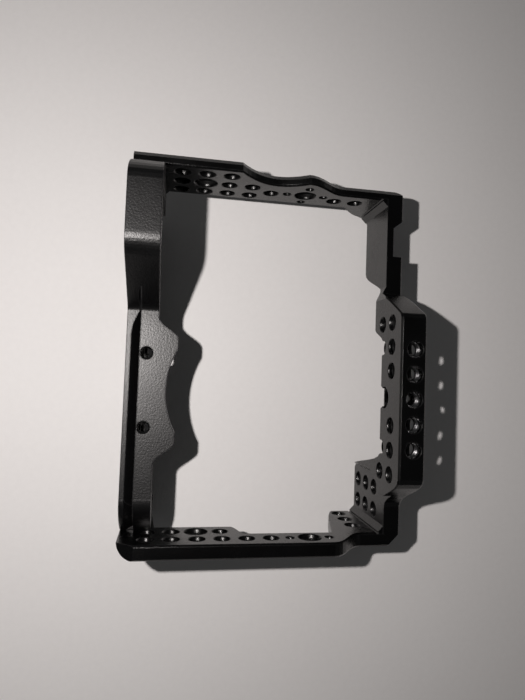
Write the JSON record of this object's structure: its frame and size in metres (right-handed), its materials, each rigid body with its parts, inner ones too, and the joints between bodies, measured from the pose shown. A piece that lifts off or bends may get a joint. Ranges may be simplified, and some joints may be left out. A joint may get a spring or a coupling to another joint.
{
  "type": "camera cage",
  "caption": "Milled aluminium cage that closes round a camera body: grip wall, raised bridge, port wall and a dovetail base, with rows of accessory holes.",
  "frame": {"origin": "centre of the bounding box seen from the front, on the plane that the cage lies on, at its back", "axes": "+X from the grip wall to the port wall, +Y from the base plate to the bridge, +Z from the back to the front of the cage"},
  "size_m": [0.138, 0.104, 0.0632],
  "materials": {
    "black_anodised": "black anodised, fine blasted",
    "grey_anodised": "black anodised, fine blasted",
    "black_steel": "blackened",
    "steel": "bright turned",
    "pad_rubber": "matte"
  },
  "bodies": {
    "cage": {"upper_frame": "black_anodised", "base_plate": "grey_anodised", "grip_joint_screws": "black_steel", "port_joint_screws": "black_steel", "dowel_pins": "steel", "seat_pads": "pad_rubber"},
    "screw": {"camera_screw": "steel", "screw_clip": "black_steel"},
    "ring": {"screw_ring": "steel"}
  },
  "joints": [
    {"name": "camera_screw_turn", "type": "hinge", "parent": "cage", "child": "screw", "pos_m": [0.0127, -0.049, 0.019], "axis": [0, 1, 0], "continuous": true},
    {"name": "ring_fold", "type": "hinge", "parent": "screw", "child": "ring", "pos_m": [0.0127, -0.0508, 0.019], "axis": [1, 0, 0], "range_deg": [0, 180]}
  ]
}
